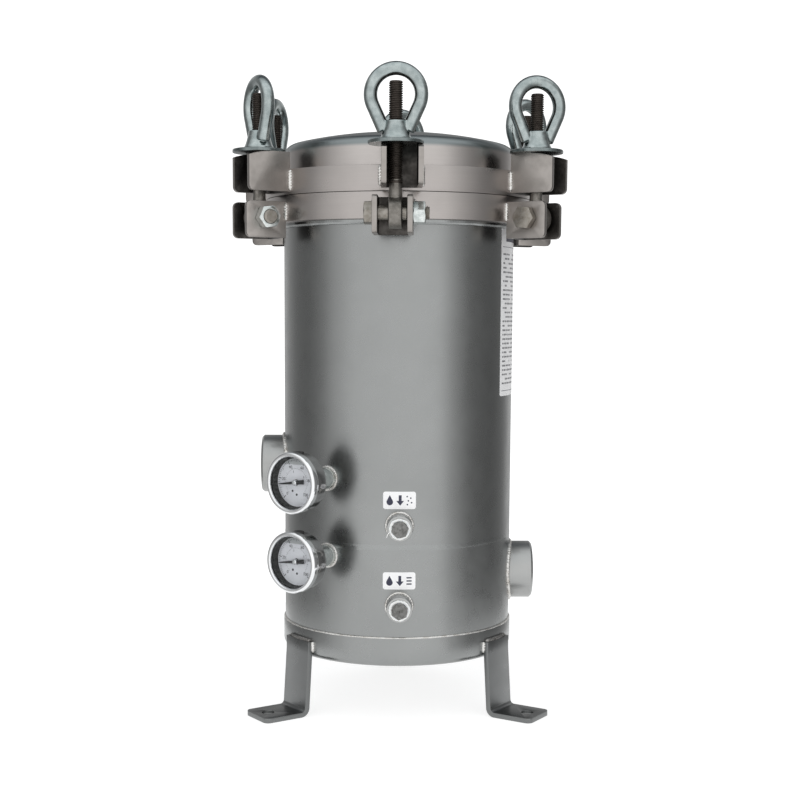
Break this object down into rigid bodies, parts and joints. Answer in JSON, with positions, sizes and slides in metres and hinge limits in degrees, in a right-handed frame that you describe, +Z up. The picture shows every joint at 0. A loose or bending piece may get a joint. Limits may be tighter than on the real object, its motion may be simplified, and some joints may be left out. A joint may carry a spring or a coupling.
{
  "type": "cartridge filter housing",
  "caption": "Upright stainless cartridge filter housing on three legs, with a swing-bolt lid, side ports, drains and pressure gauges.",
  "frame": {"origin": "on the vessel axis at floor level, under the three feet", "axes": "+Z up along the vessel axis; -Y is the front, where the drains are; +X points out of the outlet"},
  "size_m": [0.3204, 0.3518, 0.6143],
  "materials": {
    "blasted_stainless": "bead-blasted",
    "brushed_stainless": "brushed",
    "galvanised_steel": "galvanised",
    "dark_steel": "oiled, dark",
    "bright_zinc": "bright zinc plate",
    "gasket_rubber": "matt black",
    "brass": "turned",
    "filter_paper": "pleated",
    "cap_plastic": "moulded",
    "chrome": "polished",
    "gauge_glass": "clear",
    "dial_enamel": "white enamel with black marks",
    "needle_black": "black paint",
    "plug_steel": "dull",
    "seal_tape": "soft white"
  },
  "bodies": {
    "vessel": {"base_cap": "blasted_stainless", "body_flange": "brushed_stainless", "body_lugs": "brushed_stainless", "cartridge_core": "brushed_stainless", "cartridge_end_caps": "cap_plastic", "cartridge_media": "filter_paper", "clean_gauge_bezel": "chrome", "clean_gauge_case": "chrome", "clean_gauge_dial": "dial_enamel", "clean_gauge_lens": "gauge_glass", "clevis_bolts": "dark_steel", "clevis_nuts": "bright_zinc", "dirty_gauge_bezel": "chrome", "dirty_gauge_case": "chrome", "dirty_gauge_dial": "dial_enamel", "dirty_gauge_lens": "gauge_glass", "drain_couplings": "brushed_stainless", "gauge_couplings": "brushed_stainless", "gauge_fill_plugs": "gasket_rubber", "gauge_sockets": "brass", "inlet_coupling": "brushed_stainless", "leg_left": "blasted_stainless", "leg_rear": "blasted_stainless", "leg_right": "blasted_stainless", "lid_gasket": "gasket_rubber", "lower_shell": "blasted_stainless", "outlet_coupling": "brushed_stainless", "outlet_spigot": "brushed_stainless", "tie_nut": "cap_plastic", "tie_rod": "brushed_stainless", "tube_sheet": "brushed_stainless", "upper_shell": "blasted_stainless"},
    "lid": {"lid_ring": "brushed_stainless", "lid_dome": "brushed_stainless", "lid_lugs": "brushed_stainless"},
    "swing_bolt_1_body": {"swing_bolt_1": "dark_steel"},
    "washer_1_body": {"washer_1": "galvanised_steel"},
    "eye_nut_1_body": {"eye_nut_1": "galvanised_steel"},
    "swing_bolt_2_body": {"swing_bolt_2": "dark_steel"},
    "washer_2_body": {"washer_2": "galvanised_steel"},
    "eye_nut_2_body": {"eye_nut_2": "galvanised_steel"},
    "swing_bolt_3_body": {"swing_bolt_3": "dark_steel"},
    "washer_3_body": {"washer_3": "galvanised_steel"},
    "eye_nut_3_body": {"eye_nut_3": "galvanised_steel"},
    "swing_bolt_4_body": {"swing_bolt_4": "dark_steel"},
    "washer_4_body": {"washer_4": "galvanised_steel"},
    "eye_nut_4_body": {"eye_nut_4": "galvanised_steel"},
    "swing_bolt_5_body": {"swing_bolt_5": "dark_steel"},
    "washer_5_body": {"washer_5": "galvanised_steel"},
    "eye_nut_5_body": {"eye_nut_5": "galvanised_steel"},
    "swing_bolt_6_body": {"swing_bolt_6": "dark_steel"},
    "washer_6_body": {"washer_6": "galvanised_steel"},
    "eye_nut_6_body": {"eye_nut_6": "galvanised_steel"},
    "dirty_drain_tape_body": {"dirty_drain_tape": "seal_tape"},
    "dirty_drain_plug_body": {"dirty_drain_plug": "plug_steel"},
    "dirty_gauge_needle_body": {"dirty_gauge_needle": "needle_black"},
    "clean_drain_tape_body": {"clean_drain_tape": "seal_tape"},
    "clean_drain_plug_body": {"clean_drain_plug": "plug_steel"},
    "clean_gauge_needle_body": {"clean_gauge_needle": "needle_black"}
  },
  "joints": [
    {"name": "lid_lift", "type": "slide", "parent": "vessel", "child": "lid", "axis": [0, 0, 1], "range_m": [0, 0.03517]},
    {"name": "bolt_1_swing", "type": "hinge", "parent": "vessel", "child": "swing_bolt_1_body", "pos_m": [-0.00571, -0.15091, 0.4819], "axis": [0.9986, -0.0523, 0], "range_deg": [0, 180]},
    {"name": "nut_1_rise", "type": "slide", "parent": "swing_bolt_1_body", "child": "washer_1_body", "axis": [0, 0, 1], "range_m": [0, 0.03516]},
    {"name": "nut_1_turn", "type": "hinge", "parent": "washer_1_body", "child": "eye_nut_1_body", "pos_m": [-0.00571, -0.15091, 0.5455], "axis": [0, 0, 1], "range_deg": [0, 6480]},
    {"name": "bolt_2_swing", "type": "hinge", "parent": "vessel", "child": "swing_bolt_2_body", "pos_m": [0.12784, -0.08039, 0.4819], "axis": [0.5446, 0.8387, 0], "range_deg": [0, 180]},
    {"name": "nut_2_rise", "type": "slide", "parent": "swing_bolt_2_body", "child": "washer_2_body", "axis": [0, 0, 1], "range_m": [0, 0.03517]},
    {"name": "nut_2_turn", "type": "hinge", "parent": "washer_2_body", "child": "eye_nut_2_body", "pos_m": [0.12784, -0.08039, 0.5455], "axis": [0, 0, 1], "range_deg": [0, 6480]},
    {"name": "bolt_3_swing", "type": "hinge", "parent": "vessel", "child": "swing_bolt_3_body", "pos_m": [0.13354, 0.07051, 0.4819], "axis": [-0.454, 0.891, 0], "range_deg": [0, 180]},
    {"name": "nut_3_rise", "type": "slide", "parent": "swing_bolt_3_body", "child": "washer_3_body", "axis": [0, 0, 1], "range_m": [0, 0.03517]},
    {"name": "nut_3_turn", "type": "hinge", "parent": "washer_3_body", "child": "eye_nut_3_body", "pos_m": [0.13354, 0.07051, 0.5455], "axis": [0, 0, 1], "range_deg": [0, 6480]},
    {"name": "bolt_4_swing", "type": "hinge", "parent": "vessel", "child": "swing_bolt_4_body", "pos_m": [0.00571, 0.15091, 0.4819], "axis": [-0.9986, 0.0523, 0], "range_deg": [0, 180]},
    {"name": "nut_4_rise", "type": "slide", "parent": "swing_bolt_4_body", "child": "washer_4_body", "axis": [0, 0, 1], "range_m": [0, 0.03517]},
    {"name": "nut_4_turn", "type": "hinge", "parent": "washer_4_body", "child": "eye_nut_4_body", "pos_m": [0.00571, 0.15091, 0.5455], "axis": [0, 0, 1], "range_deg": [0, 6480]},
    {"name": "bolt_5_swing", "type": "hinge", "parent": "vessel", "child": "swing_bolt_5_body", "pos_m": [-0.12784, 0.08039, 0.4819], "axis": [-0.5446, -0.8387, 0], "range_deg": [0, 180]},
    {"name": "nut_5_rise", "type": "slide", "parent": "swing_bolt_5_body", "child": "washer_5_body", "axis": [0, 0, 1], "range_m": [0, 0.03517]},
    {"name": "nut_5_turn", "type": "hinge", "parent": "washer_5_body", "child": "eye_nut_5_body", "pos_m": [-0.12784, 0.08039, 0.5455], "axis": [0, 0, 1], "range_deg": [0, 6480]},
    {"name": "bolt_6_swing", "type": "hinge", "parent": "vessel", "child": "swing_bolt_6_body", "pos_m": [-0.13354, -0.07051, 0.4819], "axis": [0.454, -0.891, 0], "range_deg": [0, 180]},
    {"name": "nut_6_rise", "type": "slide", "parent": "swing_bolt_6_body", "child": "washer_6_body", "axis": [0, 0, 1], "range_m": [0, 0.03517]},
    {"name": "nut_6_turn", "type": "hinge", "parent": "washer_6_body", "child": "eye_nut_6_body", "pos_m": [-0.13354, -0.07051, 0.5455], "axis": [0, 0, 1], "range_deg": [0, 6480]},
    {"name": "dirty_drain_tape_travel", "type": "slide", "parent": "vessel", "child": "dirty_drain_tape_body", "axis": [0, -1, 0], "range_m": [0, 0.00987]},
    {"name": "dirty_drain_plug_turn", "type": "hinge", "parent": "dirty_drain_tape_body", "child": "dirty_drain_plug_body", "pos_m": [0, -0.1345, 0.1935], "axis": [0, -1, 0], "range_deg": [0, 2520]},
    {"name": "clean_drain_tape_travel", "type": "slide", "parent": "vessel", "child": "clean_drain_tape_body", "axis": [0, -1, 0], "range_m": [0, 0.00987]},
    {"name": "clean_drain_plug_turn", "type": "hinge", "parent": "clean_drain_tape_body", "child": "clean_drain_plug_body", "pos_m": [0, -0.1345, 0.1165], "axis": [0, -1, 0], "range_deg": [0, 2520]},
    {"name": "dirty_gauge_needle_turn", "type": "hinge", "parent": "vessel", "child": "dirty_gauge_needle_body", "pos_m": [-0.09785, -0.12986, 0.236], "axis": [0.6018, 0.7986, 0], "range_deg": [-40, 230]},
    {"name": "clean_gauge_needle_turn", "type": "hinge", "parent": "vessel", "child": "clean_gauge_needle_body", "pos_m": [-0.09785, -0.12986, 0.1615], "axis": [0.6018, 0.7986, 0], "range_deg": [-40, 230]}
  ],
  "couplings": [
    {"joint": "nut_1_turn", "follows": "nut_1_rise", "rad_per_m": 3215.8},
    {"joint": "nut_2_rise", "follows": "nut_1_rise", "ratio": 1},
    {"joint": "nut_2_turn", "follows": "nut_1_rise", "rad_per_m": 3215.8},
    {"joint": "nut_3_rise", "follows": "nut_1_rise", "ratio": 1},
    {"joint": "nut_3_turn", "follows": "nut_1_rise", "rad_per_m": 3215.8},
    {"joint": "nut_4_rise", "follows": "nut_1_rise", "ratio": 1},
    {"joint": "nut_4_turn", "follows": "nut_1_rise", "rad_per_m": 3215.8},
    {"joint": "nut_5_rise", "follows": "nut_1_rise", "ratio": 1},
    {"joint": "nut_5_turn", "follows": "nut_1_rise", "rad_per_m": 3215.8},
    {"joint": "nut_6_rise", "follows": "nut_1_rise", "ratio": 1},
    {"joint": "nut_6_turn", "follows": "nut_1_rise", "rad_per_m": 3215.8},
    {"joint": "lid_lift", "follows": "nut_1_rise", "ratio": 1},
    {"joint": "dirty_drain_plug_turn", "follows": "dirty_drain_tape_travel", "rad_per_m": 4452.7},
    {"joint": "clean_drain_plug_turn", "follows": "clean_drain_tape_travel", "rad_per_m": 4452.7}
  ]
}
